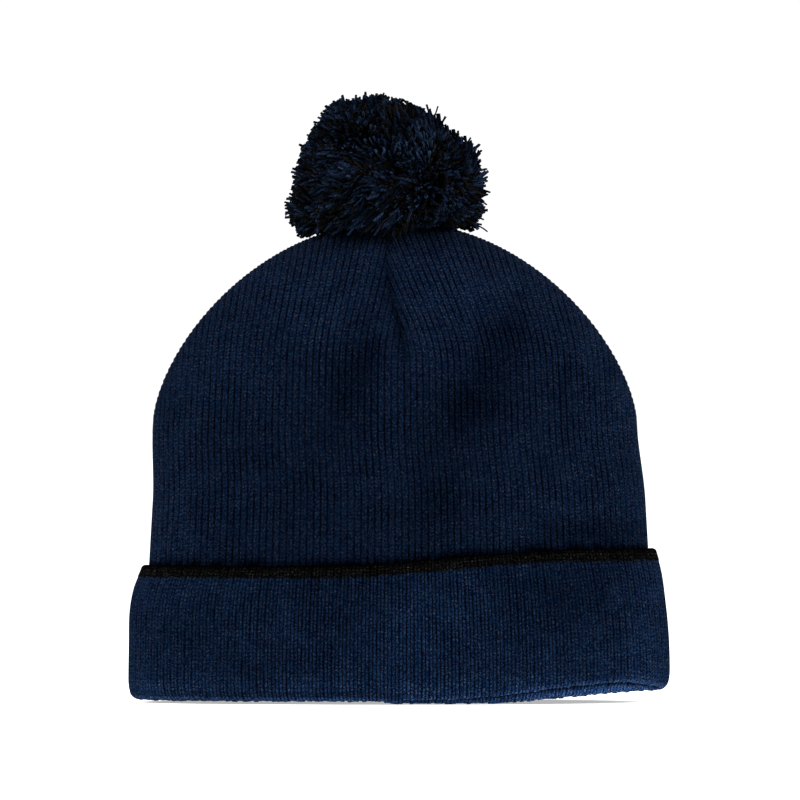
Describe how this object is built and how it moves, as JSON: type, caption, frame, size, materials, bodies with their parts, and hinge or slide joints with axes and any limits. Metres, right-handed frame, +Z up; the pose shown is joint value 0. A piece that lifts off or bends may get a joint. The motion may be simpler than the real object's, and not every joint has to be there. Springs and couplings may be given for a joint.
{
  "type": "pom pom beanie",
  "caption": "Ribbed knit winter hat with a turned-up cuff, a contrast edge and a two-tone yarn pom that rocks and twists on its thread.",
  "frame": {"origin": "on the ground under the middle of the hat, at the centre of the underside of its bounding box", "axes": "+Z up through the crown, -Y towards the front of the hat, +X across its width to the viewer's right when it is seen from the front"},
  "size_m": [0.2352, 0.0992, 0.2627],
  "materials": {
    "navy_knit": "matte ribbed knit",
    "black_knit": "matte ribbed knit",
    "navy_yarn": "soft brushed yarn",
    "black_yarn": "soft brushed yarn",
    "navy_thread": "twisted thread",
    "label_tape": "woven satin tape",
    "label_thread": "twisted thread"
  },
  "bodies": {
    "hat": {"knit_shell": "navy_knit", "cuff_band": "navy_knit", "cuff_tipping": "black_knit", "back_seam": "navy_thread", "dart_seam_front": "navy_thread", "dart_seam_back": "navy_thread", "dart_seam_left": "navy_thread", "dart_seam_right": "navy_thread", "crown_gather_thread": "navy_thread", "anchor_stitches": "navy_thread", "tie_thread": "navy_thread", "care_label": "label_tape", "label_stitching": "label_thread"},
    "shank": {"shank_knot": "navy_thread"},
    "tie": {"pom_tie": "navy_thread"},
    "pom": {"pom_yarn_navy": "navy_yarn", "pom_yarn_black": "black_yarn"}
  },
  "joints": [
    {"name": "pom_sway", "type": "hinge", "parent": "hat", "child": "shank", "pos_m": [-0.004, 0, 0.2107], "axis": [0, 1, 0], "range_deg": [-6, 6], "stiffness_Nm_per_rad": 0.25},
    {"name": "pom_nod", "type": "hinge", "parent": "shank", "child": "tie", "pos_m": [-0.004, 0, 0.2107], "axis": [1, 0, 0], "range_deg": [-10, 10], "stiffness_Nm_per_rad": 0.25},
    {"name": "pom_twist", "type": "hinge", "parent": "tie", "child": "pom", "pos_m": [-0.004, 0, 0.2107], "axis": [0, 0, 1], "range_deg": [-30, 30], "stiffness_Nm_per_rad": 0.02}
  ]
}
